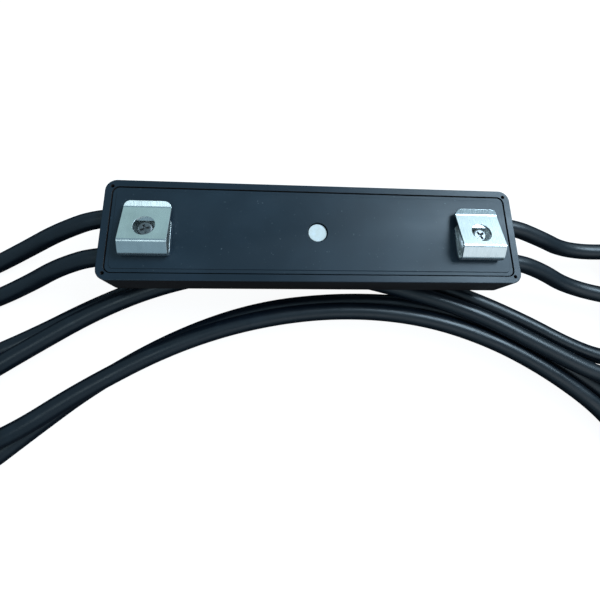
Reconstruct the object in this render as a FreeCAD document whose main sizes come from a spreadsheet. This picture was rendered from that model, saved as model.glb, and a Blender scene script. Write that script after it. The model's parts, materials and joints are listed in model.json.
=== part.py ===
import FreeCAD, Part
import math
import os
import Sketcher

# A module-level shutdown box for one solar panel: a slim potted housing, two folded steel
# clips that grip the panel's frame flange, two short input cords and two long output cords,
# each ending in a latching single-pole connector.
# Frame: origin at the centre of the box that holds the housing and its clips, +X along the
# housing, +Z out of its lid. Heights in this file are counted from the housing's back face, and
# every finished piece is then moved down by origin_height.

Vector = FreeCAD.Vector
OUT = Vector(0, 0, 1)
NEAR = 1e-6

# Driving dimensions, in millimetres.
SIZES = {
    "box_length": 150.0,
    "box_width": 36.5,
    "box_height": 13.5,
    "origin_height": 9.75,
    "corner_radius": 4.0,
    "rim_width": 2.5,
    "wall": 3.7,
    "floor_thickness": 1.5,
    "edge_break": 0.3,
    "lid_thickness": 2.0,
    "lid_gap": 0.35,
    "lid_step": 0.3,
    "lid_flange": 1.3,
    "lid_radius": 2.2,
    "corner_pin_diameter": 1.3,
    "corner_pin_depth": 3.0,
    "ejector_diameter": 5.0,
    "ejector_depth": 0.2,
    "vent_bore": 7.3,
    "vent_depth": 1.3,
    "vent_hole": 5.0,
    "vent_disc_diameter": 6.6,
    "vent_ring_thickness": 0.2,
    "vent_disc_thickness": 0.4,
    "cord_diameter": 6.6,
    "cord_height": 6.75,
    "cord_upper_y": 7.0,
    "cord_lower_y": 7.7,
    "cord_hole": 7.2,
    "cord_inside": 14.0,
    "seal_diameter": 8.96,
    "seal_pocket": 9.0,
    "seal_bore": 6.4,
    "seal_length": 2.3,
    "end_lip": 1.2,
    "screw_x": 59.2,
    "screw_y": 1.1,
    "boss_diameter": 6.6,
    "boss_floor": 3.0,
    "insert_diameter": 4.4,
    "insert_bore": 3.06,
    "insert_length": 6.0,
    "screw_hole": 3.4,
    "screw_shank": 2.9,
    "head_edge": 1.0,
    "screw_length": 9.2,
    "screw_head": 5.6,
    "screw_head_height": 1.8,
    "cross_width": 0.8,
    "cross_length": 3.2,
    "cross_depth": 1.1,
    "washer_diameter": 6.0,
    "washer_thickness": 0.4,
    "washer_bore": 3.06,
    "clip_width": 16.0,
    "clip_sheet": 0.8,
    "clip_clearance": 0.05,
    "clip_hole": 7.2,
    "clip_hole_y": 0.4,
    "clip_corner": 2.4,
    "board_length": 110.0,
    "board_width": 27.0,
    "board_thickness": 1.6,
    "board_bottom": 3.0,
    "spreader_length": 104.0,
    "spreader_width": 26.0,
    "spreader_thickness": 1.0,
    "pad_length": 60.0,
    "pad_width": 20.0,
    "terminal_length": 5.0,
    "terminal_width": 5.0,
    "terminal_height": 4.4,
    "terminal_bore": 2.9,
    "core_diameter": 2.8,
    "potting_bottom": 10.2,
    "potting_top": 11.4,
    "potting_gap": 0.2,
    "nut_length": 20.0,
    "nut_diameter": 19.2,
    "nut_back": 3.0,
    "nut_bore": 14.95,
    "nut_bore_start": 6.0,
    "nut_cord_bore": 7.0,
    "nut_flute": 2.4,
    "nut_flute_count": 12.0,
    "spigot_start": 7.0,
    "spigot_length": 13.3,
    "spigot_diameter": 14.8,
    "spigot_bore": 12.7,
    "spigot_bore_depth": 11.0,
    "collar_start": 20.3,
    "collar_length": 3.5,
    "collar_diameter": 18.6,
    "waist_length": 6.2,
    "waist_diameter": 16.0,
    "head_start": 30.0,
    "head_diameter": 18.6,
    "pin_head_length": 12.0,
    "socket_head_length": 10.0,
    "neck_start": 40.0,
    "neck_length": 2.4,
    "neck_diameter": 9.4,
    "nose_length": 14.6,
    "nose_diameter": 11.8,
    "mouth_start": 26.0,
    "mouth_diameter": 12.2,
    "contact_bore": 6.4,
    "latch_slot_height": 5.4,
    "latch_slot_depth": 2.6,
    "arm_start": 33.0,
    "arm_length": 21.0,
    "arm_height": 4.6,
    "arm_thickness": 1.9,
    "arm_reach": 7.5,
    "hook_length": 3.0,
    "hook_depth": 1.1,
    "cage_start": 8.4,
    "cage_length": 4.0,
    "cage_diameter": 12.6,
    "cage_bore": 8.0,
    "cage_slot": 1.2,
    "grommet_start": 12.6,
    "grommet_length": 5.2,
    "grommet_diameter": 12.4,
    "grommet_bore": 5.8,
    "cord_in_nut": 8.0,
    "barrel_start": 18.4,
    "barrel_length": 9.0,
    "barrel_diameter": 6.2,
    "contact_length": 13.0,
    "contact_pin": 4.0,
    "contact_socket": 6.2,
    "contact_socket_bore": 4.1,
    "ring_seal_section": 1.5,
    "core_length": 10.0,
    "nut_taper": 2.9,
    "zero": 0.0,
    "socket_length": 27.0,
}


def derive(sizes):
    """Add the sizes that follow from the driving ones."""
    sizes["ledge_length"] = sizes["box_length"] - 2 * sizes["rim_width"]
    sizes["ledge_width"] = sizes["box_width"] - 2 * sizes["rim_width"]
    sizes["ledge_radius"] = sizes["lid_radius"] + sizes["lid_gap"]
    sizes["ledge_height"] = sizes["box_height"] - sizes["lid_thickness"]
    sizes["cavity_length"] = sizes["box_length"] - 2 * sizes["wall"]
    sizes["cavity_width"] = sizes["box_width"] - 2 * sizes["wall"]
    sizes["cavity_radius"] = sizes["ledge_radius"] - 1.2
    sizes["cavity_depth"] = sizes["box_height"] - sizes["floor_thickness"]
    sizes["boss_height"] = sizes["ledge_height"] - sizes["floor_thickness"]
    sizes["insert_bottom"] = sizes["ledge_height"] - sizes["insert_length"]
    sizes["boss_depth"] = sizes["ledge_height"] - sizes["boss_floor"]
    sizes["pin_x"] = sizes["box_length"] / 2 - sizes["rim_width"]
    sizes["pin_y"] = sizes["box_width"] / 2 - sizes["rim_width"]
    sizes["seal_span"] = sizes["box_length"] - 2 * sizes["end_lip"]
    sizes["seal_start"] = sizes["box_length"] / 2 - sizes["end_lip"] - sizes["seal_length"] - 0.05
    sizes["lid_length"] = sizes["ledge_length"] - 2 * sizes["lid_gap"]
    sizes["lid_width"] = sizes["ledge_width"] - 2 * sizes["lid_gap"]
    sizes["lid_base"] = sizes["lid_thickness"] - sizes["lid_step"]
    sizes["lid_step_height"] = sizes["box_height"] - sizes["lid_step"]
    sizes["field_length"] = sizes["lid_length"] - 2 * sizes["lid_flange"]
    sizes["field_width"] = sizes["lid_width"] - 2 * sizes["lid_flange"]
    sizes["field_radius"] = sizes["lid_radius"] - sizes["lid_flange"] / 2
    sizes["vent_floor"] = sizes["box_height"] - sizes["vent_depth"]
    sizes["vent_disc_bottom"] = sizes["vent_floor"] + sizes["vent_ring_thickness"]
    sizes["clip_bottom"] = sizes["box_height"] + sizes["clip_clearance"]
    sizes["clip_top"] = sizes["clip_bottom"] + sizes["clip_sheet"]
    sizes["washer_bottom"] = sizes["clip_top"] + sizes["clip_clearance"]
    sizes["head_bottom"] = sizes["washer_bottom"] + sizes["washer_thickness"]
    sizes["head_top"] = sizes["head_bottom"] + sizes["screw_head_height"]
    sizes["screw_tip"] = sizes["head_bottom"] - sizes["screw_length"]
    sizes["board_top"] = sizes["board_bottom"] + sizes["board_thickness"]
    sizes["pad_bottom"] = sizes["floor_thickness"] + sizes["spreader_thickness"]
    sizes["pad_thickness"] = sizes["board_bottom"] - sizes["pad_bottom"]
    sizes["potting_thickness"] = sizes["potting_top"] - sizes["potting_bottom"]
    sizes["potting_length"] = sizes["cavity_length"] - 2 * sizes["potting_gap"]
    sizes["potting_width"] = sizes["cavity_width"] - 2 * sizes["potting_gap"]
    sizes["potting_boss_hole"] = sizes["boss_diameter"] + 2 * sizes["potting_gap"]
    sizes["nut_rest"] = sizes["nut_length"] - sizes["nut_back"]
    sizes["nut_bore_length"] = sizes["nut_length"] - sizes["nut_bore_start"]
    sizes["flute_circle"] = sizes["nut_diameter"] / 2 + sizes["nut_flute"] / 4
    sizes["waist_start"] = sizes["collar_start"] + sizes["collar_length"]
    sizes["mouth_length"] = sizes["head_start"] + sizes["pin_head_length"] - sizes["mouth_start"]
    sizes["contact_start"] = sizes["barrel_start"] + sizes["barrel_length"]
    sizes["socket_bore_start"] = sizes["contact_start"] + sizes["socket_length"] - sizes["contact_length"]
    sizes["nose_start"] = sizes["neck_start"] + sizes["neck_length"]
    sizes["ring_seal_radius"] = (sizes["neck_diameter"] + sizes["ring_seal_section"]) / 2
    return sizes


# Routes of the four cords: the points that each cord's runs pass through, from inside the
# housing to the far connector. LOW lies on the surface below, HIGH lies on top of a low strand,
# and END is the height of a connector that rests on its nut.
LOW = -10.1
HIGH = -3.45
END = -3.8
FAR_END = -3.4

ROUTES = {
    "output_positive": [
        (-61, 7.0, 6.75), (-77, 7.0, 6.75), (-93.6, 2.3, 2.2), (-108, -2.2, -5.5),
        (-121, -7.8, -9.8), (-135, -15.0, LOW), (-149.5, -25.5, LOW), (-157, -45, LOW),
        (-152, -65, LOW), (-136.5, -78.5, LOW), (-116.5, -80.8, LOW), (-99, -66.5, LOW),
        (-80, -51.6, LOW), (-52, -35.3, LOW), (-22, -24.6, LOW), (10, -20.8, LOW),
        (42, -21.8, LOW), (68, -28.2, LOW), (92, -39.8, LOW), (117, -56.0, LOW),
        (131, -69.5, LOW), (138, -83.5, LOW), (150, -94.5, LOW), (165, -96.5, LOW),
        (179, -88.5, LOW), (186, -74, LOW), (182.5, -58.5, LOW), (170.5, -49.0, LOW),
        (154, -48.5, LOW), (134, -54.6, -6.0), (113, -51.6, HIGH), (90, -39.6, HIGH),
        (64, -26.2, HIGH), (34, -16.8, HIGH), (4, -9.8, HIGH), (-26, -9.6, HIGH),
        (-54, -15.2, HIGH), (-78, -24.8, HIGH), (-103, -40.5, HIGH), (-126, -56, FAR_END),
        (-146, -69.5, FAR_END), (-162, -77.5, FAR_END),
    ],
    "output_negative": [
        (-61, -7.7, 6.75), (-77, -7.7, 6.75), (-91.8, -11.0, 2.2), (-105, -15.4, -5.5),
        (-119, -21.0, -9.8), (-131, -25.0, LOW), (-143.5, -31.5, LOW), (-149.5, -46, LOW),
        (-145.5, -61, LOW), (-133.4, -71, LOW), (-118, -72.4, -5.9), (-102.5, -67.7, -3.3),
        (-80, -52.6, HIGH), (-52, -38.0, HIGH), (-22, -28.8, -4.1), (10, -25.0, -4.8),
        (42, -27.4, -5.6), (70, -35.9, -6.3), (94, -48.8, -6.6), (115, -64.6, -7.6),
        (125, -78.5, LOW), (132.5, -92.5, LOW), (147, -102.5, LOW), (165, -104, LOW),
        (182, -96, LOW), (192.5, -80.5, LOW), (192.5, -61, LOW), (180.5, -46, LOW),
        (162.5, -40, LOW), (143, -43.2, LOW), (124, -45.2, LOW), (108, -39.8, LOW),
        (88, -28.2, LOW), (64, -15.6, LOW), (34, -5.6, LOW), (4, -2.4, LOW),
        (-26, -4.9, LOW), (-54, -11.0, LOW), (-80, -21.6, LOW), (-105, -36.2, -9.3),
        (-126, -46.8, -6), (-141, -51.5, FAR_END), (-155, -53.8, FAR_END), (-169, -54.5, FAR_END),
    ],
    "input_positive": [
        (61, 7.0, 6.75), (77, 7.0, 6.75), (93.9, 3.1, 2.2), (108, 0.4, -4.2),
        (126.5, -0.8, END), (144, 1.0, END),
    ],
    "input_negative": [
        (61, -7.7, 6.75), (77, -7.7, 6.75), (91.4, -10.4, 2.2), (106, -15.2, -4.2),
        (124, -19.8, END), (141, -21.7, END),
    ],
}

# The four places where a cord passes the end walls: side along X, side along Y.
EXITS = {
    "output_positive": (-1, 1),
    "output_negative": (-1, -1),
    "input_positive": (1, 1),
    "input_negative": (1, -1),
}

# Which connector each cord carries: the one with the pin and latch arms, or its mate.
ENDS = {
    "output_positive": "pin",
    "output_negative": "socket",
    "input_positive": "socket",
    "input_negative": "pin",
}

SIDES = {"left": -1, "right": 1}

doc = FreeCAD.newDocument("shutdown_box")
sheet = doc.addObject("Spreadsheet::Sheet", "Sizes")
nodes = []


def fill_sheet():
    for row, (alias, number) in enumerate(derive(SIZES).items(), start=1):
        sheet.set("A%d" % row, alias)
        sheet.set("B%d" % row, str(round(number, 4)))
        sheet.setAlias("B%d" % row, alias)
    doc.recompute()


def size(alias):
    return float(sheet.get(alias))


def cell(alias, factor=1.0):
    """The expression for a cell, or for a multiple of it."""
    if factor == 1.0:
        return "Sizes." + alias
    return "%g * Sizes.%s" % (factor, alias)


def bind(thing, **aliases):
    """Bind each named property to the cell with that alias."""
    for name, alias in aliases.items():
        thing.setExpression(name, cell(alias))


def keep(thing, name):
    """Hand a finished object in as one sub-part, moved from the back face to the frame's origin."""
    down = FreeCAD.Placement(Vector(0, 0, -size("origin_height")), FreeCAD.Rotation())
    thing.Placement = down.multiply(thing.Placement)
    thing.Label = name
    nodes.append(thing)
    return thing


def place(thing, x=0.0, y=0.0, z=0.0, rotation=None):
    thing.Placement = FreeCAD.Placement(Vector(x, y, z), rotation or FreeCAD.Rotation())
    return thing


# Sketches and features of the bodies

def body(name):
    return doc.addObject("PartDesign::Body", name)


def origin_feature(owner, role):
    return [part for part in owner.Origin.OriginFeatures if part.Role == role][0]


def sketch(owner, name, role="XY_Plane", offset=None, shift=0.0):
    """A sketch on one of the body's own origin planes, lifted along the plane's normal."""
    made = owner.newObject("Sketcher::SketchObject", name)
    made.AttachmentSupport = [(origin_feature(owner, role), "")]
    made.MapMode = "FlatFace"
    if offset:
        made.setExpression(".AttachmentOffset.Base.z", cell(offset))
    elif shift:
        made.AttachmentOffset = FreeCAD.Placement(Vector(0, 0, shift), FreeCAD.Rotation())
    return made


def constrain(target, kind, *where, alias=None, factor=1.0):
    """Add one constraint, bound to a cell when it has a size."""
    if alias is None:
        target.addConstraint(Sketcher.Constraint(kind, *where))
        return
    index = target.addConstraint(Sketcher.Constraint(kind, *where, size(alias) * factor))
    target.setExpression("Constraints[%d]" % index, cell(alias, factor))


def rounded_rectangle(target, length, width, radius):
    """A rectangle with round corners, centred on the sketch's origin."""
    x, y, r = size(length) / 2, size(width) / 2, size(radius)
    lines = [((r - x, -y), (x - r, -y)), ((x, r - y), (x, y - r)),
             ((x - r, y), (r - x, y)), ((-x, y - r), (-x, r - y))]
    for start, end in lines:
        target.addGeometry(Part.LineSegment(Vector(*start, 0), Vector(*end, 0)))
    centres = [(x - r, r - y), (x - r, y - r), (r - x, y - r), (r - x, r - y)]
    for turn, centre in enumerate(centres):
        start = (turn - 1) * math.pi / 2
        corner = Part.ArcOfCircle(Part.Circle(Vector(*centre, 0), OUT, r), start, start + math.pi / 2)
        target.addGeometry(corner)
    for side in range(4):
        constrain(target, "Tangent", side, 2, 4 + side, 1)
        constrain(target, "Tangent", 4 + side, 2, (side + 1) % 4, 1)
        constrain(target, ("Horizontal", "Vertical")[side % 2], side)
    for corner in (5, 6, 7):
        constrain(target, "Equal", 4, corner)
    constrain(target, "Symmetric", 4, 3, 6, 3, -1, 1)
    constrain(target, "Radius", 4, alias=radius)
    constrain(target, "DistanceX", 3, 1, 1, 1, alias=length)
    constrain(target, "DistanceY", 0, 1, 2, 1, alias=width)


def circle(target, diameter, across=None, along=None):
    """A circle; across and along are (cell, sign) pairs from the sketch's origin."""
    offsets = [0.0 if part is None else size(part[0]) * part[1] for part in (across, along)]
    index = target.addGeometry(Part.Circle(Vector(*offsets, 0), OUT, size(diameter) / 2))
    constrain(target, "Diameter", index, alias=diameter)
    for kind, axis, part in (("DistanceX", -2, across), ("DistanceY", -1, along)):
        if part is None:
            constrain(target, "PointOnObject", index, 3, axis)
        elif part[1] > 0:
            constrain(target, kind, -1, 1, index, 3, alias=part[0])
        else:
            constrain(target, kind, index, 3, -1, 1, alias=part[0])


def pad(owner, profile, length, both_ways=False):
    made = owner.newObject("PartDesign::Pad", profile.Name + "_pad")
    made.Profile = profile
    made.Midplane = both_ways
    bind(made, Length=length)
    profile.Visibility = False
    doc.recompute()
    return made


def pocket(owner, profile, depth=None, forward=False, both_ways=False):
    """Cut the profile to a depth, or right through, and check that something was cut."""
    before = owner.Shape.Volume
    made = owner.newObject("PartDesign::Pocket", profile.Name + "_pocket")
    made.Profile = profile
    made.Reversed = forward
    made.Midplane = both_ways
    if depth:
        bind(made, Length=depth)
    else:
        made.Type = "ThroughAll"
    profile.Visibility = False
    doc.recompute()
    if owner.Shape.Volume >= before - NEAR:
        raise RuntimeError("%s cut nothing" % made.Name)
    return made


def disc_pad(owner, name, start, length, diameter):
    """One step of a turned piece along its own X axis."""
    step = sketch(owner, name, "YZ_Plane", offset=start)
    circle(step, diameter)
    return pad(owner, step, length)


def disc_pocket(owner, name, start, length, diameter):
    """One bore of a turned piece, cut forward along its own X axis."""
    bore = sketch(owner, name, "YZ_Plane", offset=start)
    circle(bore, diameter)
    return pocket(owner, bore, length, forward=True)


def edges_where(shape, test):
    return ["Edge%d" % number for number, edge in enumerate(shape.Edges, start=1) if test(edge)]


def break_edges(owner, name, kind, edges, alias):
    """Fillet or chamfer the chosen edges of the body's tip."""
    made = owner.newObject("PartDesign::" + kind, name)
    made.Base = (made.BaseFeature, edges)
    bind(made, **{"Radius" if kind == "Fillet" else "Size": alias})
    doc.recompute()
    return made


# Plain solids bound to the sheet

def cylinder(name, diameter, length):
    made = doc.addObject("Part::Cylinder", name)
    made.setExpression("Radius", cell(diameter, 0.5))
    bind(made, Height=length)
    return made


def box(name, length, width, height):
    """A box that grows from its own origin, as every Part::Box does."""
    made = doc.addObject("Part::Box", name)
    bind(made, Length=length, Width=width, Height=height)
    return made


def cut(name, base, tool):
    made = doc.addObject("Part::Cut", name)
    made.Base = base
    made.Tool = tool
    return made


def fuse(name, shapes):
    made = doc.addObject("Part::MultiFuse", name)
    made.Shapes = shapes
    return made


def ring(name, outer, inner, length):
    """A plain ring along its own Z axis."""
    return cut(name, cylinder(name + "_outside", outer, length), cylinder(name + "_bore", inner, length))


# The housing and its lid

def housing_tray():
    tray = body("housing_tray")
    outline = sketch(tray, "tray_outline")
    rounded_rectangle(outline, "box_length", "box_width", "corner_radius")
    pad(tray, outline, "box_height")
    ledge = sketch(tray, "lid_ledge", offset="box_height")
    rounded_rectangle(ledge, "ledge_length", "ledge_width", "ledge_radius")
    pocket(tray, ledge, "lid_thickness")
    cavity = sketch(tray, "cavity", offset="box_height")
    rounded_rectangle(cavity, "cavity_length", "cavity_width", "cavity_radius")
    pocket(tray, cavity, "cavity_depth")
    for name, diameter, span in (("cord_holes", "cord_hole", "box_length"),
                                 ("seal_pockets", "seal_pocket", "seal_span")):
        holes = sketch(tray, name, "YZ_Plane")
        circle(holes, diameter, ("cord_upper_y", 1), ("cord_height", 1))
        circle(holes, diameter, ("cord_lower_y", -1), ("cord_height", 1))
        pocket(tray, holes, span, both_ways=True)
    bosses = sketch(tray, "clip_bosses", offset="floor_thickness")
    inserts = sketch(tray, "insert_bores", offset="ledge_height")
    for side in (-1, 1):
        circle(bosses, "boss_diameter", ("screw_x", side), ("screw_y", -1))
        circle(inserts, "insert_diameter", ("screw_x", side), ("screw_y", -1))
    pad(tray, bosses, "boss_height")
    pocket(tray, inserts, "boss_depth")
    pins = sketch(tray, "corner_pins", offset="box_height")
    marks = sketch(tray, "ejector_marks")
    for across in (-1, 1):
        for along in (-1, 1):
            circle(pins, "corner_pin_diameter", ("pin_x", across), ("pin_y", along))
            circle(marks, "ejector_diameter", ("screw_x", across), ("cord_upper_y", along))
    pocket(tray, pins, "corner_pin_depth")
    pocket(tray, marks, "ejector_depth", forward=True)
    half_x, half_y = size("box_length") / 2 - NEAR, size("box_width") / 2 - NEAR

    def outer_edge(edge):
        """An edge of the outline, round the top or the bottom of the tray."""
        bounds = edge.BoundBox
        level = bounds.ZMax < NEAR or bounds.ZMin > size("box_height") - NEAR
        on_end = max(bounds.XMax, -bounds.XMin) > half_x
        on_side = max(bounds.YMax, -bounds.YMin) > half_y
        return level and (on_end or on_side)

    break_edges(tray, "edge_round", "Fillet", edges_where(tray.Shape, outer_edge), "edge_break")
    return keep(tray, "housing_tray")


def lid_plate():
    lid = body("lid_plate")
    flange = sketch(lid, "lid_flange_outline", offset="ledge_height")
    rounded_rectangle(flange, "lid_length", "lid_width", "lid_radius")
    pad(lid, flange, "lid_base")
    field = sketch(lid, "lid_field", offset="lid_step_height")
    rounded_rectangle(field, "field_length", "field_width", "field_radius")
    pad(lid, field, "lid_step")
    vent = sketch(lid, "vent_recess", offset="box_height")
    circle(vent, "vent_bore")
    pocket(lid, vent, "vent_depth")
    holes = sketch(lid, "lid_holes", offset="box_height")
    circle(holes, "vent_hole")
    for side in (-1, 1):
        circle(holes, "screw_hole", ("screw_x", side), ("screw_y", -1))
    pocket(lid, holes)
    return keep(lid, "lid_plate")


def vent():
    seat = ring("vent_adhesive_ring", "vent_disc_diameter", "vent_hole", "vent_ring_thickness")
    keep(place(seat, z=size("vent_floor")), "vent_adhesive_ring")
    disc = cylinder("vent_membrane", "vent_disc_diameter", "vent_disc_thickness")
    keep(place(disc, z=size("vent_disc_bottom")), "vent_membrane")


# Clips, their screws and the inserts that take them

def rounded_route(points, radii):
    """Straight runs joined by tangent arcs: a list of Part lines and arcs through the points."""
    pieces = []
    start = points[0]
    for before, corner, after, radius in zip(points, points[1:], points[2:], radii):
        back = (before - corner).normalize()
        ahead = (after - corner).normalize()
        half_turn = (math.pi - back.getAngle(ahead)) / 2
        reach = radius * math.tan(half_turn)
        enter = corner + back * reach
        leave = corner + ahead * reach
        middle_way = (back + ahead).normalize()
        middle = corner + middle_way * (radius / math.cos(half_turn) - radius)
        pieces.append(Part.LineSegment(start, enter))
        pieces.append(Part.Arc(enter, middle, leave))
        start = leave
    pieces.append(Part.LineSegment(start, points[-1]))
    return pieces


def clip_line():
    """The middle line of the clip's strip, seen along X: base leaf, bend, upper leaf and lip."""
    base = size("clip_bottom") + size("clip_sheet") / 2
    points = [(3.9, base), (-13.4, base), (-6.0, 19.2), (7.1, 15.5), (9.3, 16.2)]
    return [Vector(y, z, 0) for y, z in points], [1.7, 1.2, 1.5]


def frame_clip(side):
    """One strip of spring steel, folded back over itself, with an access hole over its screw."""
    clip = body("frame_clip_" + side)
    path = sketch(clip, "strip_line_" + side, "YZ_Plane")
    points, radii = clip_line()
    for piece in rounded_route(points, radii):
        if isinstance(piece, Part.Arc):
            piece = piece.toShape().Curve.trim(*piece.toShape().ParameterRange)
        path.addGeometry(piece)
    end = sketch(clip, "strip_section_" + side, "XZ_Plane", shift=-points[0].x)
    half, middle = size("clip_width") / 2, points[0].y
    low, high = middle - size("clip_sheet") / 2, middle + size("clip_sheet") / 2
    corners = [(-half, low), (half, low), (half, high), (-half, high)]
    for number, corner in enumerate(corners):
        following = corners[(number + 1) % 4]
        end.addGeometry(Part.LineSegment(Vector(*corner, 0), Vector(*following, 0)))
    for line in range(4):
        constrain(end, "Coincident", line, 2, (line + 1) % 4, 1)
    for line, direction in ((1, "Vertical"), (2, "Horizontal"), (3, "Vertical")):
        constrain(end, direction, line)
    constrain(end, "Symmetric", 0, 1, 0, 2, -2)
    constrain(end, "DistanceX", 0, 1, 0, 2, alias="clip_width")
    constrain(end, "DistanceY", 1, 1, 1, 2, alias="clip_sheet")
    constrain(end, "DistanceY", -1, 1, 0, 1, alias="clip_bottom")
    strip = clip.newObject("PartDesign::AdditivePipe", "strip_" + side)
    strip.Profile = end
    strip.Spine = path
    doc.recompute()
    screw_hole = sketch(clip, "base_hole_" + side, offset="clip_top")
    circle(screw_hole, "screw_hole", None, ("screw_y", -1))
    pocket(clip, screw_hole, "clip_sheet")
    access = sketch(clip, "access_hole_" + side, offset="head_top")
    circle(access, "clip_hole", None, ("clip_hole_y", -1))
    pocket(clip, access, "clip_hole", forward=True)

    def free_corner(edge):
        """An edge through the sheet's thickness, at either end of the strip."""
        middle_of = edge.BoundBox.Center
        at_side = abs(abs(middle_of.x) - half) < NEAR
        return at_side and middle_of.y > 0 and abs(edge.Length - size("clip_sheet")) < 100 * NEAR

    break_edges(clip, "corners_" + side, "Fillet", edges_where(clip.Shape, free_corner), "clip_corner")
    place(clip, x=SIDES[side] * size("screw_x"))
    return keep(clip, "frame_clip_" + side)


def clip_screw(side):
    """A pan head screw with a cross recess, on the axis that the clip swivels about."""
    screw = body("clip_screw_" + side)
    head = sketch(screw, "head_" + side, offset="head_bottom")
    circle(head, "screw_head")
    pad(screw, head, "screw_head_height")
    top = edges_where(screw.Shape, lambda edge: edge.BoundBox.ZMin > size("head_top") - NEAR)
    break_edges(screw, "head_round_" + side, "Fillet", top, "head_edge")
    shank = sketch(screw, "shank_" + side, offset="screw_tip")
    circle(shank, "screw_shank")
    pad(screw, shank, "screw_length")
    recess = sketch(screw, "recess_" + side, offset="head_top")
    long, short = size("cross_length") / 2, size("cross_width") / 2
    corners = [(-long, -short), (-short, -short), (-short, -long), (short, -long),
               (short, -short), (long, -short), (long, short), (short, short),
               (short, long), (-short, long), (-short, short), (-long, short)]
    for number, corner in enumerate(corners):
        following = corners[(number + 1) % len(corners)]
        recess.addGeometry(Part.LineSegment(Vector(*corner, 0), Vector(*following, 0)))
    pocket(screw, recess, "cross_depth")
    place(screw, SIDES[side] * size("screw_x"), -size("screw_y"), 0,
          FreeCAD.Rotation(OUT, 20 if side == "left" else 35))
    return keep(screw, "clip_screw_" + side)


def clip_fixings(side):
    x, y = SIDES[side] * size("screw_x"), -size("screw_y")
    washer = ring("clip_washer_" + side, "washer_diameter", "washer_bore", "washer_thickness")
    keep(place(washer, x, y, size("washer_bottom")), "clip_washer_" + side)
    insert = ring("screw_insert_" + side, "insert_diameter", "insert_bore", "insert_length")
    keep(place(insert, x, y, size("insert_bottom")), "screw_insert_" + side)


# The electronics, seen by nobody once the box is potted

def centred_box(name, length, width, height, x=0.0, y=0.0, z=0.0):
    """A box whose numbers are its own, centred on x and y, with its base at z."""
    made = doc.addObject("Part::Box", name)
    made.Length, made.Width, made.Height = length, width, height
    return place(made, x - length / 2, y - width / 2, z)


def flat_plate(name, length, width, height, bottom):
    made = box(name, length, width, height)
    place(made, -size(length) / 2, -size(width) / 2, size(bottom))
    return keep(made, name)


def board_stack():
    flat_plate("heat_spreader", "spreader_length", "spreader_width", "spreader_thickness",
               "floor_thickness")
    flat_plate("thermal_pad", "pad_length", "pad_width", "pad_thickness", "pad_bottom")
    flat_plate("circuit_board", "board_length", "board_width", "board_thickness", "board_bottom")


def board_parts():
    top = size("board_top")
    switches = [centred_box("switch_%d" % number, 10.0, 9.0, 4.4, x, y, top)
                for number, (x, y) in enumerate([(-38, -6.5), (-38, 6.5), (-25, -6.5), (-25, 6.5)])]
    keep(fuse("power_switches", switches), "power_switches")
    keep(centred_box("controller_chip", 7.0, 7.0, 1.0, 8.0, 6.0, top), "controller_chip")
    keep(centred_box("signal_transformer", 9.0, 8.0, 4.8, 38.0, 7.0, top), "signal_transformer")
    caps = [centred_box("capacitor_%d" % number, 13.0, 5.0, 5.0, x, y, top)
            for number, (x, y) in enumerate([(-8, -9), (8, -9), (38, -8)])]
    keep(fuse("film_capacitors", caps), "film_capacitors")
    core = doc.addObject("Part::Cylinder", "inductor_core")
    core.Radius, core.Height = 4.0, 5.2
    keep(place(core, 23.0, 4.0, top), "inductor_core")
    turns = doc.addObject("Part::Cylinder", "coil_outside")
    turns.Radius, turns.Height = 6.0, 4.0
    hole = doc.addObject("Part::Cylinder", "coil_hole")
    hole.Radius, hole.Height = 4.1, 4.0
    keep(place(cut("inductor_coil", turns, hole), 23.0, 4.0, top + 0.5), "inductor_coil")


def lead_ends():
    """Four terminal blocks on the board, and the bare cord cores that are clamped in them."""
    blocks = []
    cores = []
    along_x = FreeCAD.Rotation(Vector(0, 1, 0), 90)
    block_x = size("board_length") / 2 - size("terminal_length") / 2
    core_start = size("box_length") / 2 - size("cord_inside")
    for name, (across, along) in EXITS.items():
        y = size("cord_upper_y") if along > 0 else -size("cord_lower_y")
        block = box(name + "_block", "terminal_length", "terminal_width", "terminal_height")
        place(block, across * block_x - size("terminal_length") / 2, y - size("terminal_width") / 2,
              size("board_top"))
        bore = cylinder(name + "_terminal_bore", "terminal_bore", "terminal_width")
        place(bore, across * block_x - size("terminal_width") / 2, y, size("cord_height"), along_x)
        blocks.append(cut(name + "_terminal", block, bore))
        core = cylinder(name + "_core", "core_diameter", "core_length")
        start = core_start - size("core_length") if across > 0 else -core_start
        cores.append(place(core, start, y, size("cord_height"), along_x))
    keep(fuse("lead_terminals", blocks), "lead_terminals")
    keep(fuse("bare_conductors", cores), "bare_conductors")


def potting_layer():
    layer = body("potting_layer")
    outline = sketch(layer, "potting_outline", offset="potting_bottom")
    rounded_rectangle(outline, "potting_length", "potting_width", "cavity_radius")
    pad(layer, outline, "potting_thickness")
    wells = sketch(layer, "potting_wells", offset="potting_top")
    circle(wells, "vent_hole")
    for side in (-1, 1):
        circle(wells, "potting_boss_hole", ("screw_x", side), ("screw_y", -1))
    pocket(layer, wells)
    return keep(layer, "potting_layer")


# Cords and the seals that they leave the housing through

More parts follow.
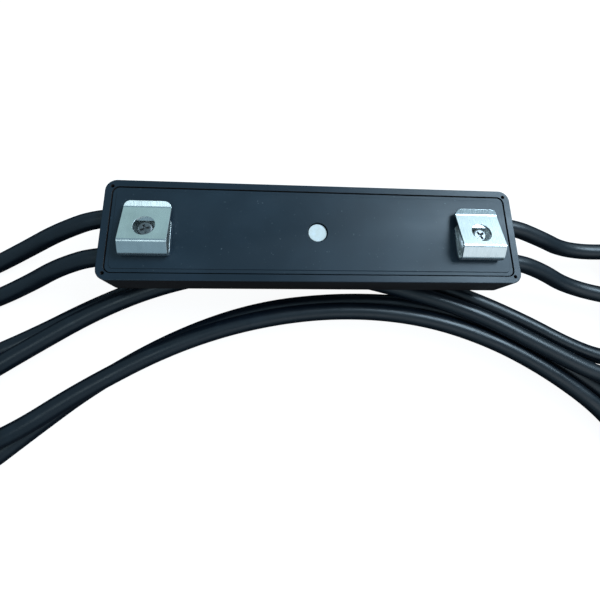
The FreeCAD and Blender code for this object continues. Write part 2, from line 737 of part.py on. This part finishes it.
def cord(name):
    """A tube along the cord's runs, each arc as large as its two runs allow."""
    points = [Vector(*point) for point in ROUTES[name]]
    radii = []
    for before, corner, after in zip(points, points[1:], points[2:]):
        run = min((corner - before).Length, (after - corner).Length)
        turn = (corner - before).getAngle(after - corner)
        radii.append(0.45 * run / math.tan(turn / 2))
    path = Part.Wire([piece.toShape() for piece in rounded_route(points, radii)])
    radius = size("cord_diameter") / 2
    section = Part.Wire([Part.Circle(points[0], points[1] - points[0], radius).toShape()])
    tube = doc.addObject("Part::Feature", "cord_" + name)
    tube.Shape = path.makePipeShell([section], True, False)
    expected = math.pi * radius ** 2 * path.Length
    print("%s: %.0f mm, tightest arc %.1f mm, volume over section times length %.4f"
          % (name, path.Length, min(radii), tube.Shape.Volume / expected))
    return keep(tube, "cord_" + name)


def housing_seal(name):
    across, along = EXITS[name]
    seal = ring("cord_seal_" + name, "seal_diameter", "seal_bore", "seal_length")
    y = size("cord_upper_y") if along > 0 else -size("cord_lower_y")
    start = size("seal_start") if across > 0 else -size("seal_start") - size("seal_length")
    place(seal, start, y, size("cord_height"), FreeCAD.Rotation(Vector(0, 1, 0), 90))
    return keep(seal, "cord_seal_" + name)


# Connectors: every piece lies along its own X axis, from the cord's entry to the mating front

def connector_place(name):
    """Where a connector's own frame lies: its X axis follows the cord's last run."""
    last, end = (Vector(*point) for point in ROUTES[name][-2:])
    ahead = (end - last).normalize()
    return FreeCAD.Placement(end - ahead * size("cord_in_nut"),
                             FreeCAD.Rotation(ahead, Vector(), OUT, "XZY"))


def gland_nut(name):
    nut = body("gland_nut_" + name)
    disc_pad(nut, "nut_outline_" + name, "zero", "nut_length", "nut_diameter")
    rear = edges_where(nut.Shape, lambda edge: edge.BoundBox.XMax < NEAR)
    break_edges(nut, "nut_taper_" + name, "Chamfer", rear, "nut_taper")
    disc_pocket(nut, "nut_cord_bore_" + name, "zero", "nut_length", "nut_cord_bore")
    disc_pocket(nut, "nut_bore_" + name, "nut_bore_start", "nut_bore_length", "nut_bore")
    flute = sketch(nut, "nut_flute_" + name, "YZ_Plane", offset="nut_back")
    circle(flute, "nut_flute", ("flute_circle", 1), None)
    groove = pocket(nut, flute, "nut_rest", forward=True)
    flutes = nut.newObject("PartDesign::PolarPattern", "nut_flutes_" + name)
    flutes.Originals = [groove]
    flutes.Axis = (origin_feature(nut, "X_Axis"), [""])
    flutes.Angle = 360
    flutes.Occurrences = int(size("nut_flute_count"))
    nut.Tip = flutes
    doc.recompute()
    nut.Placement = connector_place(name)
    return keep(nut, "gland_nut_" + name)


def connector_shell(name, kind):
    """The moulded body: spigot, collar, waist and head, then a nose or a mouth with two arms."""
    shell = body("connector_body_" + name)
    disc_pad(shell, "spigot_" + name, "spigot_start", "spigot_length", "spigot_diameter")
    disc_pad(shell, "collar_" + name, "collar_start", "collar_length", "collar_diameter")
    disc_pad(shell, "waist_" + name, "waist_start", "waist_length", "waist_diameter")
    if kind == "pin":
        disc_pad(shell, "head_" + name, "head_start", "pin_head_length", "head_diameter")
        latch_arms(shell, name)
        disc_pocket(shell, "mouth_" + name, "mouth_start", "mouth_length", "mouth_diameter")
    else:
        disc_pad(shell, "head_" + name, "head_start", "socket_head_length", "head_diameter")
        disc_pad(shell, "neck_" + name, "neck_start", "neck_length", "neck_diameter")
        disc_pad(shell, "nose_" + name, "nose_start", "nose_length", "nose_diameter")
        latch_slots(shell, name)
    through = sketch(shell, "contact_bore_" + name, "YZ_Plane", offset="spigot_start")
    circle(through, "contact_bore")
    pocket(shell, through, forward=True)
    disc_pocket(shell, "spigot_bore_" + name, "spigot_start", "spigot_bore_depth", "spigot_bore")
    shell.Placement = connector_place(name)
    return keep(shell, "connector_body_" + name)


def side_rectangles(target, start, length, inner, depth):
    """Two rectangles, one on each side of the connector, seen from above."""
    for side in (-1, 1):
        corners = [(start, side * inner), (start + length, side * inner),
                   (start + length, side * (inner + depth)), (start, side * (inner + depth))]
        for number, corner in enumerate(corners):
            following = corners[(number + 1) % 4]
            target.addGeometry(Part.LineSegment(Vector(*corner, 0), Vector(*following, 0)))


def latch_arms(shell, name):
    """Two springy arms beside the mouth, each with an inward hook at its tip."""
    arms = sketch(shell, "arms_" + name)
    start, end = size("arm_start"), size("arm_start") + size("arm_length")
    inner, outer = size("arm_reach"), size("arm_reach") + size("arm_thickness")
    tip = inner - size("hook_depth")
    for side in (-1, 1):
        outline = [(start, inner), (end - size("hook_length"), inner), (end - size("hook_length"), tip),
                   (end - size("hook_length") / 3, tip), (end, inner), (end, outer), (start, outer)]
        for number, (x, y) in enumerate(outline):
            to_x, to_y = outline[(number + 1) % len(outline)]
            arms.addGeometry(Part.LineSegment(Vector(x, side * y, 0), Vector(to_x, side * to_y, 0)))
    pad(shell, arms, "arm_height", both_ways=True)


def latch_slots(shell, name):
    """Two side recesses that the mate's latch arms slide into and hook behind."""
    slots = sketch(shell, "slots_" + name)
    depth = size("latch_slot_depth")
    side_rectangles(slots, size("head_start") + 2.5, size("socket_head_length"),
                    size("head_diameter") / 2 - depth, depth + 1)
    pocket(shell, slots, "latch_slot_height", both_ways=True)


def connector_inside(name, kind):
    """The clamp cage, the rubber grommet and the crimped contact."""
    at = connector_place(name)
    cage = body("clamp_cage_" + name)
    disc_pad(cage, "cage_" + name, "cage_start", "cage_length", "cage_diameter")
    disc_pocket(cage, "cage_bore_" + name, "cage_start", "cage_length", "cage_bore")
    slot = sketch(cage, "cage_slot_" + name, offset="cage_diameter")
    corners = [(size("cage_start"), -size("cage_slot") / 2), (size("cage_start") + 3, -size("cage_slot") / 2),
               (size("cage_start") + 3, size("cage_slot") / 2), (size("cage_start"), size("cage_slot") / 2)]
    for number, corner in enumerate(corners):
        following = corners[(number + 1) % 4]
        slot.addGeometry(Part.LineSegment(Vector(*corner, 0), Vector(*following, 0)))
    finger = pocket(cage, slot, "cage_diameter")
    fingers = cage.newObject("PartDesign::PolarPattern", "cage_fingers_" + name)
    fingers.Originals = [finger]
    fingers.Axis = (origin_feature(cage, "X_Axis"), [""])
    fingers.Angle = 360
    fingers.Occurrences = 6
    cage.Tip = fingers
    doc.recompute()
    cage.Placement = at
    keep(cage, "clamp_cage_" + name)
    grommet = body("grommet_" + name)
    disc_pad(grommet, "grommet_outline_" + name, "grommet_start", "grommet_length", "grommet_diameter")
    disc_pocket(grommet, "grommet_bore_" + name, "grommet_start", "grommet_length", "grommet_bore")
    grommet.Placement = at
    keep(grommet, "grommet_" + name)
    contact = body("contact_" + name)
    disc_pad(contact, "barrel_" + name, "barrel_start", "barrel_length", "barrel_diameter")
    if kind == "pin":
        disc_pad(contact, "pin_" + name, "contact_start", "contact_length", "contact_pin")
    else:
        disc_pad(contact, "socket_" + name, "contact_start", "socket_length", "contact_socket")
        disc_pocket(contact, "socket_bore_" + name, "socket_bore_start", "contact_length",
                    "contact_socket_bore")
    contact.Placement = at
    keep(contact, "contact_" + name)


def nose_seal(name):
    """The rubber ring on the neck behind the nose, which seals against the mate's mouth."""
    seal = doc.addObject("Part::Torus", "nose_seal_" + name)
    bind(seal, Radius1="ring_seal_radius")
    seal.setExpression("Radius2", cell("ring_seal_section", 0.5))
    along_x = FreeCAD.Rotation(Vector(0, 1, 0), 90)
    middle = size("neck_start") + size("neck_length") / 2
    step = FreeCAD.Placement(Vector(middle, 0, 0), along_x)
    seal.Placement = connector_place(name).multiply(step)
    return keep(seal, "nose_seal_" + name)


def check_model():
    """Stop unless every object is computed and every sub-part is one or more valid solids."""
    doc.recompute()
    for thing in doc.Objects:
        if "Invalid" in thing.State or "Error" in thing.State:
            raise RuntimeError("%s is in state %s" % (thing.Name, thing.State))
    for thing in nodes:
        if thing.Shape.isNull() or not thing.Shape.isValid() or not thing.Shape.Solids:
            raise RuntimeError("%s has no valid solid" % thing.Label)


def write_steps():
    os.makedirs("parts", exist_ok=True)
    for thing in nodes:
        thing.Shape.exportStep("parts/%s.step" % thing.Label)
    print("%d nodes written" % len(nodes))


fill_sheet()
housing_tray()
lid_plate()
vent()
for side_name in SIDES:
    frame_clip(side_name)
    clip_screw(side_name)
    clip_fixings(side_name)
board_stack()
board_parts()
lead_ends()
potting_layer()
for cord_name in ROUTES:
    housing_seal(cord_name)
    cord(cord_name)
    gland_nut(cord_name)
    connector_shell(cord_name, ENDS[cord_name])
    connector_inside(cord_name, ENDS[cord_name])
    if ENDS[cord_name] == "socket":
        nose_seal(cord_name)
check_model()
write_steps()
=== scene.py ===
import json
import math

import bmesh
import bpy
from mathutils import Matrix, Vector


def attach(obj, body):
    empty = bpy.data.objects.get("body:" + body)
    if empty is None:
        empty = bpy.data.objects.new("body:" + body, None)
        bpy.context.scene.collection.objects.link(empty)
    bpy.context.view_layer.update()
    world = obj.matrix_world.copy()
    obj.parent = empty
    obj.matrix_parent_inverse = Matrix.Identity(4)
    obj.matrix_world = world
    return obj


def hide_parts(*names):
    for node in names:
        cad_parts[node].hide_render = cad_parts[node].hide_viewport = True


# A solar shutdown box with its cords and connectors, lying on a pale floor.
# Every length is in metres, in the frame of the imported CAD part; MM turns millimetres into metres.

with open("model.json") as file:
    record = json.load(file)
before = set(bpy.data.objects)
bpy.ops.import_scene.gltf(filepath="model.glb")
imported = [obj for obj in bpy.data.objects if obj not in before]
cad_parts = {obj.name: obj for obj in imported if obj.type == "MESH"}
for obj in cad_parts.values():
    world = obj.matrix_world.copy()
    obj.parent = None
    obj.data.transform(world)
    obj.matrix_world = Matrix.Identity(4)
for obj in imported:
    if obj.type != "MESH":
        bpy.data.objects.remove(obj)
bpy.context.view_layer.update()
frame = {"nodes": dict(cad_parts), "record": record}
MM = 0.001
BODIES = frame["record"]["behaviour"]["bodies"]
BODY_OF = {node: body for body, members in BODIES.items() for node in members}
SLOT_OF = {part["node"]: part["material_slot"] for part in frame["record"]["subparts"]}
ROOT = "housing"

# Places below are counted from the housing's back face, which is this far under the origin.
BACK_FACE = Vector((0, 0, -9.75))


def at(x, y, z):
    """A place in the frame, from millimetres over the housing's back face."""
    return (Vector((x, y, z)) + BACK_FACE) * MM


# Camera: where it stands, the point that its axis meets, its roll, and how far the picture is shifted.
EYE = at(-19.46, -47.05, 145.35)
AIM = at(-5.24, -6.62, 0.0)
ROLL = math.radians(0.75)
FOCAL = 23.55
SENSOR = 36.0
SHIFT_Y = -0.067

# Heights of a cord's middle line, as in the CAD part: low on the floor, high on a low strand,
# and at the connector of a short and of a long cord, which lies on its nut. The size is across a cord.
LOW = -10.1
HIGH = -3.45
END = -3.8
FAR_END = -3.4
CORD_SIZE = 6.6
CORD = CORD_SIZE * MM
FLOOR = at(0, 0, LOW - CORD_SIZE / 2).z

ROUTES = {
    "output_positive": [
        (-61, 7.0, 6.75), (-77, 7.0, 6.75), (-93.6, 2.3, 2.2), (-108, -2.2, -5.5),
        (-121, -7.8, -9.8), (-135, -15.0, LOW), (-149.5, -25.5, LOW), (-157, -45, LOW),
        (-152, -65, LOW), (-136.5, -78.5, LOW), (-116.5, -80.8, LOW), (-99, -66.5, LOW),
        (-80, -51.6, LOW), (-52, -35.3, LOW), (-22, -24.6, LOW), (10, -20.8, LOW),
        (42, -21.8, LOW), (68, -28.2, LOW), (92, -39.8, LOW), (117, -56.0, LOW),
        (131, -69.5, LOW), (138, -83.5, LOW), (150, -94.5, LOW), (165, -96.5, LOW),
        (179, -88.5, LOW), (186, -74, LOW), (182.5, -58.5, LOW), (170.5, -49.0, LOW),
        (154, -48.5, LOW), (134, -54.6, -6.0), (113, -51.6, HIGH), (90, -39.6, HIGH),
        (64, -26.2, HIGH), (34, -16.8, HIGH), (4, -9.8, HIGH), (-26, -9.6, HIGH),
        (-54, -15.2, HIGH), (-78, -24.8, HIGH), (-103, -40.5, HIGH), (-126, -56, FAR_END),
        (-146, -69.5, FAR_END), (-162, -77.5, FAR_END),
    ],
    "output_negative": [
        (-61, -7.7, 6.75), (-77, -7.7, 6.75), (-91.8, -11.0, 2.2), (-105, -15.4, -5.5),
        (-119, -21.0, -9.8), (-131, -25.0, LOW), (-143.5, -31.5, LOW), (-149.5, -46, LOW),
        (-145.5, -61, LOW), (-133.4, -71, LOW), (-118, -72.4, -5.9), (-102.5, -67.7, -3.3),
        (-80, -52.6, HIGH), (-52, -38.0, HIGH), (-22, -28.8, -4.1), (10, -25.0, -4.8),
        (42, -27.4, -5.6), (70, -35.9, -6.3), (94, -48.8, -6.6), (115, -64.6, -7.6),
        (125, -78.5, LOW), (132.5, -92.5, LOW), (147, -102.5, LOW), (165, -104, LOW),
        (182, -96, LOW), (192.5, -80.5, LOW), (192.5, -61, LOW), (180.5, -46, LOW),
        (162.5, -40, LOW), (143, -43.2, LOW), (124, -45.2, LOW), (108, -39.8, LOW),
        (88, -28.8, LOW), (64, -18.2, LOW), (34, -8.4, LOW), (4, -3.2, LOW),
        (-26, -4.9, LOW), (-54, -11.0, LOW), (-80, -21.6, LOW), (-105, -36.2, -9.3),
        (-126, -46.8, -6), (-141, -51.5, FAR_END), (-155, -53.8, FAR_END), (-169, -54.5, FAR_END),
    ],
    "input_positive": [
        (61, 7.0, 6.75), (77, 7.0, 6.75), (93.9, 3.1, 2.2), (108, 0.4, -4.2),
        (126.5, -0.8, END), (144, 1.0, END),
    ],
    "input_negative": [
        (61, -7.7, 6.75), (77, -7.7, 6.75), (91.4, -10.4, 2.2), (106, -15.2, -4.2),
        (124, -19.8, END), (141, -21.7, END),
    ],
}


# Materials

def new_material(name, color, roughness, metallic=0.0, specular=0.5):
    """A material with its constants on the shader's own sockets."""
    made = bpy.data.materials.new(name)
    made.use_nodes = True
    shader = made.node_tree.nodes["Principled BSDF"]
    shader.inputs["Base Color"].default_value = (*color, 1.0)
    shader.inputs["Roughness"].default_value = roughness
    shader.inputs["Metallic"].default_value = metallic
    shader.inputs["Specular IOR Level"].default_value = specular
    return made


def node(material, kind, **settings):
    made = material.node_tree.nodes.new(kind)
    for name, value in settings.items():
        setattr(made, name, value)
    return made


def link(material, start, end):
    material.node_tree.links.new(start, end)


def shader_of(material):
    return material.node_tree.nodes["Principled BSDF"]


def noise(material, scale, detail=4.0, roughness=0.55, stretch=(1, 1, 1)):
    """Noise over the object's own coordinates, which are metres."""
    place = node(material, "ShaderNodeTexCoord")
    mapping = node(material, "ShaderNodeMapping")
    mapping.inputs["Scale"].default_value = stretch
    made = node(material, "ShaderNodeTexNoise")
    made.inputs["Scale"].default_value = scale
    made.inputs["Detail"].default_value = detail
    made.inputs["Roughness"].default_value = roughness
    link(material, place.outputs["Object"], mapping.inputs["Vector"])
    link(material, mapping.outputs["Vector"], made.inputs["Vector"])
    return made.outputs["Fac"]


def spread(material, value, low, high, dark, light):
    """Map a noise value from low..high onto dark..light, which are numbers."""
    made = node(material, "ShaderNodeMapRange")
    for name, number in (("From Min", low), ("From Max", high), ("To Min", dark), ("To Max", light)):
        made.inputs[name].default_value = number
    link(material, value, made.inputs["Value"])
    return made.outputs["Result"]


def mix_colors(material, factor, first, second):
    made = node(material, "ShaderNodeMix", data_type="RGBA")
    for name, value in (("A", first), ("B", second)):
        socket = [s for s in made.inputs if s.name == name and s.type == "RGBA"][0]
        if isinstance(value, tuple):
            socket.default_value = (*value, 1.0)
        else:
            link(material, value, socket)
    link(material, factor, [s for s in made.inputs if s.name == "Factor" and s.type == "VALUE"][0])
    return [s for s in made.outputs if s.type == "RGBA"][0]


def bump(material, height, distance):
    made = node(material, "ShaderNodeBump")
    made.inputs["Distance"].default_value = distance
    made.inputs["Strength"].default_value = 1.0
    link(material, height, made.inputs["Height"])
    link(material, made.outputs["Normal"], shader_of(material).inputs["Normal"])


def tinted(color, factor, lift=0.0):
    """A lighter or darker colour, no part of it over full."""
    return tuple(min(1.0, factor * part + lift) for part in color)


DUST = (0.35, 0.38, 0.4)
MOULD_GRAIN = 0.012 * MM
JACKET_GRAIN = 0.02 * MM
ROLLED_GRAIN = 0.003 * MM
MOTTLE_GRAIN = 0.01 * MM


def moulded_plastic(name, color, light_color, roughness, dust=0.0):
    """Spark-eroded moulded plastic: a fine grain, faint handling smudges and, where asked, dust."""
    made = new_material(name, color, roughness)
    smudge = noise(made, 45.0, detail=3.0)
    tone = mix_colors(made, spread(made, smudge, 0.42, 0.68, 0.0, 1.0), color, light_color)
    if dust:
        specks = noise(made, 900.0, detail=2.0)
        tone = mix_colors(made, spread(made, specks, 0.70, 0.78, 0.0, dust), tone, DUST)
    link(made, tone, shader_of(made).inputs["Base Color"])
    wipe = noise(made, 28.0, detail=5.0, stretch=(0.5, 2.0, 1.0))
    link(made, spread(made, wipe, 0.35, 0.7, roughness - 0.05, roughness + 0.09),
         shader_of(made).inputs["Roughness"])
    bump(made, noise(made, 2600.0, detail=2.0), MOULD_GRAIN)
    return made


def cable_jacket():
    """Extruded cross-linked jacket: semi-gloss, with faint die lines and scuffs."""
    made = new_material("cable_jacket", (0.003, 0.006, 0.012), 0.26, specular=0.6)
    scuffs = noise(made, 160.0, detail=5.0)
    tone = mix_colors(made, spread(made, scuffs, 0.55, 0.75, 0.0, 1.0), (0.003, 0.006, 0.011),
                      (0.007, 0.012, 0.019))
    link(made, tone, shader_of(made).inputs["Base Color"])
    link(made, spread(made, noise(made, 90.0), 0.3, 0.7, 0.28, 0.42), shader_of(made).inputs["Roughness"])
    bump(made, noise(made, 1400.0, detail=3.0), JACKET_GRAIN)
    return made


def brushed_metal(name, color, roughness, along=(40.0, 1.0, 1.0)):
    """Rolled sheet with a grain that runs one way."""
    made = new_material(name, color, roughness, metallic=1.0)
    lines = noise(made, 160.0, detail=6.0, roughness=0.7, stretch=along)
    link(made, spread(made, lines, 0.3, 0.7, roughness - 0.07, roughness + 0.1),
         shader_of(made).inputs["Roughness"])
    stain = noise(made, 120.0, detail=3.0)
    tone = mix_colors(made, spread(made, stain, 0.4, 0.7, 0.0, 1.0), color, tinted(color, 0.86))
    link(made, tone, shader_of(made).inputs["Base Color"])
    bump(made, lines, ROLLED_GRAIN)
    return made


def plain_grain(name, color, roughness, metallic=0.0):
    """A lightly mottled material for the small and hidden pieces."""
    made = new_material(name, color, roughness, metallic)
    mottle = noise(made, 500.0, detail=3.0)
    tone = mix_colors(made, spread(made, mottle, 0.35, 0.7, 0.0, 1.0), color, tinted(color, 1.25, 0.004))
    link(made, tone, shader_of(made).inputs["Base Color"])
    bump(made, mottle, MOTTLE_GRAIN)
    return made


def make_materials():
    return {
        "housing_plastic": moulded_plastic("housing_plastic", (0.007, 0.017, 0.028),
                                           (0.011, 0.023, 0.038), 0.38),
        # The walls' copy of the housing plastic: painted shade and a painted brownish reflection, not a
        # colour of the plastic itself.
        "housing_side_painted_shade": moulded_plastic("housing_side_painted_shade", (0.028, 0.020, 0.019),
                                        (0.036, 0.026, 0.024), 0.5),
        "lid_plastic": moulded_plastic("lid_plastic", (0.007, 0.018, 0.030),
                                       (0.013, 0.027, 0.042), 0.42, dust=0.2),
        "spring_steel": brushed_metal("spring_steel", (0.78, 0.80, 0.79), 0.27),
        "screw_steel": brushed_metal("screw_steel", (0.28, 0.28, 0.28), 0.42, (1.0, 1.0, 1.0)),
        "brass": plain_grain("brass", (0.60, 0.42, 0.16), 0.35, 1.0),
        "white_membrane": plain_grain("white_membrane", (0.90, 0.86, 0.80), 0.55),
        "seal_rubber": plain_grain("seal_rubber", (0.012, 0.012, 0.013), 0.7),
        "cable_jacket": cable_jacket(),
        "connector_plastic": moulded_plastic("connector_plastic", (0.012, 0.012, 0.013),
                                             (0.020, 0.020, 0.022), 0.42),
        "cage_plastic": plain_grain("cage_plastic", (0.45, 0.46, 0.45), 0.5),
        "tinned_contact": brushed_metal("tinned_contact", (0.70, 0.71, 0.73), 0.3, (1.0, 6.0, 6.0)),
        "copper": plain_grain("copper", (0.72, 0.36, 0.22), 0.35, 1.0),
        "board_laminate": plain_grain("board_laminate", (0.02, 0.10, 0.04), 0.4),
        "spreader_aluminium": brushed_metal("spreader_aluminium", (0.75, 0.76, 0.78), 0.35),
        "pad_silicone": plain_grain("pad_silicone", (0.4, 0.42, 0.46), 0.7),
        "component_plastic": plain_grain("component_plastic", (0.02, 0.02, 0.02), 0.5),
        "ferrite": plain_grain("ferrite", (0.04, 0.04, 0.045), 0.6),
        "potting": plain_grain("potting", (0.015, 0.015, 0.017), 0.6),
    }


# Pieces

def softened_copy(name, width):
    """A CAD node's own shape with small rounded edges, shown in its place."""
    source = frame["nodes"][name]
    mesh = bmesh.new()
    mesh.from_mesh(source.data)
    bmesh.ops.remove_doubles(mesh, verts=mesh.verts, dist=1e-6)
    bmesh.ops.dissolve_limit(mesh, angle_limit=math.radians(1.0), verts=mesh.verts, edges=mesh.edges,
                             delimit={"NORMAL"})
    data = bpy.data.meshes.new(name + "_look")
    mesh.to_mesh(data)
    mesh.free()
    made = bpy.data.objects.new(name + "_look", data)
    bpy.context.scene.collection.objects.link(made)
    for face in data.polygons:
        face.use_smooth = True
    edges = made.modifiers.new("edges", "BEVEL")
    edges.width = width * MM
    edges.segments = 3
    edges.limit_method = "ANGLE"
    edges.angle_limit = math.radians(28.0)
    edges.use_clamp_overlap = True
    made.modifiers.new("flat_faces", "WEIGHTED_NORMAL").keep_sharp = False
    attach(made, BODY_OF[name])
    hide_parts(name)
    return made


def paint(piece, material):
    piece.data.materials.clear()
    piece.data.materials.append(material)


def make_cord(name, materials):
    """The cord as one smooth line in place of the CAD tube, with the route's points as its controls."""
    data = bpy.data.curves.new("jacket_" + name, "CURVE")
    data.dimensions = "3D"
    data.bevel_depth = CORD / 2
    data.bevel_resolution = 8
    data.resolution_u = 16
    data.use_fill_caps = True
    line = data.splines.new("NURBS")
    line.points.add(len(ROUTES[name]) - 1)
    for point, place in zip(line.points, ROUTES[name]):
        point.co = (*at(*place), 1.0)
    line.order_u = 3
    line.use_endpoint_u = True
    made = bpy.data.objects.new("jacket_" + name, data)
    bpy.context.scene.collection.objects.link(made)
    paint(made, materials["cable_jacket"])
    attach(made, ROOT)
    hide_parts("cord_" + name)


# How wide the rounded edges are, in millimetres.
CONNECTOR_EDGE = 0.25
EDGE_WIDTHS = {
    "housing_tray": 0.30,
    "lid_plate": 0.14,
    "frame_clip_left": 0.10,
    "frame_clip_right": 0.10,
    "clip_screw_left": 0.08,
    "clip_screw_right": 0.08,
    "clip_washer_left": 0.05,
    "clip_washer_right": 0.05,
    "vent_membrane": 0.10,
}


# A face of the tray whose normal rises less than this is a wall or its underside.
LEVEL = 0.5


def paint_shade_on_sides(tray, material):
    """The tray's walls and underside are painted darker and duller than its rim, with a brownish tint:
    painted shade and a painted reflection, chosen by face direction.
    """
    tray.data.materials.append(material)
    for face in tray.data.polygons:
        if face.normal.z < LEVEL:
            face.material_index = 1


def make_pieces(materials):
    shown = {}
    for name, width in EDGE_WIDTHS.items():
        shown[name] = softened_copy(name, width)
    for name in frame["nodes"]:
        if name.startswith(("gland_nut_", "connector_body_")):
            shown[name] = softened_copy(name, CONNECTOR_EDGE)
    for name, piece in frame["nodes"].items():
        paint(shown.get(name, piece), materials[SLOT_OF[name]])
    # Painted shade and a painted reflection on the tray's walls and underside.
    paint_shade_on_sides(shown["housing_tray"], materials["housing_side_painted_shade"])
    for name in ROUTES:
        make_cord(name, materials)


# Floor, lights and camera

def stage_piece(name, data, material):
    made = bpy.data.objects.new(name, data)
    bpy.context.scene.collection.objects.link(made)
    paint(made, material)
    return made


# The floor reaches this far each way. The backdrop stands just inside that, and ends under the floor.
FLOOR_REACH = 3.0
DOME_RADIUS = 2.9
DOME_BOTTOM = -0.5
UNDER_FLOOR = FLOOR - 0.2 * MM


def square(name, height):
    data = bpy.data.meshes.new(name)
    signs = ((-1, -1), (1, -1), (1, 1), (-1, 1))
    corners = [(x * FLOOR_REACH, y * FLOOR_REACH, height) for x, y in signs]
    data.from_pydata(corners, [], [(0, 1, 2, 3)])
    return data


def dome(name):
    data = bpy.data.meshes.new(name)
    mesh = bmesh.new()
    bmesh.ops.create_icosphere(mesh, subdivisions=4, radius=DOME_RADIUS)
    bmesh.ops.delete(mesh, geom=[v for v in mesh.verts if v.co.z < DOME_BOTTOM], context="VERTS")
    mesh.to_mesh(data)
    mesh.free()
    return data


def make_floor():
    """A pale floor and backdrop that the camera sees, and a dark floor that the sides reflect."""
    pale = new_material("floor", (0.22, 0.22, 0.22), 0.9, specular=0.0)
    shader_of(pale).inputs["Emission Color"].default_value = (1.0, 1.0, 1.0, 1.0)
    shader_of(pale).inputs["Emission Strength"].default_value = 0.93
    for name, data in (("floor", square("floor", FLOOR)), ("backdrop", dome("backdrop"))):
        seen = stage_piece(name, data, pale)
        for kind in ("diffuse", "glossy", "transmission", "shadow"):
            setattr(seen, "visible_" + kind, False)
    dark = new_material("under_floor", (0.05, 0.05, 0.055), 0.9, specular=0.0)
    under = stage_piece("under_floor", square("under_floor", UNDER_FLOOR), dark)
    under.visible_camera = False


def area_light(name, place, aim, size, power, color):
    data = bpy.data.lights.new(name, "AREA")
    data.shape = "RECTANGLE"
    data.size, data.size_y = size
    data.energy = power
    data.color = color
    made = bpy.data.objects.new(name, data)
    bpy.context.scene.collection.objects.link(made)
    made.location = place
    made.rotation_euler = (Vector(aim) - Vector(place)).to_track_quat("-Z", "Y").to_euler()


# Each area light: where it stands, the point it faces, its two sides, its watts and its colour.
LIGHTS = {
    "north_east": ((0.72, 0.85, 0.66), (0.04, 0.0, 0.0), (1.0, 0.8), 1.7, (0.80, 1.0, 1.03)),
    "north_west": ((-0.45, 0.95, 0.72), (-0.06, 0.0, 0.0), (0.5, 0.6), 0.26, (0.66, 1.0, 0.82)),
    "sky_east": ((0.76, 0.38, 0.94), (0.0, 0.0, 0.0), (0.55, 0.55), 11.0, (0.62, 0.83, 1.0)),
    "top_west": ((-0.36, -0.32, 1.15), (-0.05, 0.0, 0.0), (0.36, 0.36), 0.8, (0.76, 0.95, 1.0)),
    "south_east": ((0.60, -0.80, 0.66), (0.05, 0.0, 0.0), (0.9, 0.7), 1.5, (0.90, 0.96, 1.0)),
}


def make_lights():
    world = bpy.data.worlds.new("studio")
    bpy.context.scene.world = world
    world.use_nodes = True
    background = world.node_tree.nodes["Background"]
    background.inputs["Color"].default_value = (0.50, 0.80, 1.0, 1.0)
    background.inputs["Strength"].default_value = 0.40
    bpy.context.scene.view_settings.view_transform = "Standard"
    for name, settings in LIGHTS.items():
        area_light(name, *settings)


def make_camera():
    ahead = (AIM - EYE).normalized()
    right = ahead.cross(Vector((0, 1, 0))).normalized()
    up = right.cross(ahead)
    turn = Matrix((right, up, -ahead)).transposed().to_4x4()
    data = bpy.data.cameras.new("camera")
    data.lens = FOCAL
    data.sensor_width = SENSOR
    data.shift_y = SHIFT_Y
    data.clip_start = 0.005
    data.clip_end = 20.0
    made = bpy.data.objects.new("camera", data)
    bpy.context.scene.collection.objects.link(made)
    made.matrix_world = Matrix.Translation(EYE) @ turn @ Matrix.Rotation(-ROLL, 4, "Z")
    bpy.context.scene.camera = made


make_camera()
make_pieces(make_materials())
make_floor()
make_lights()
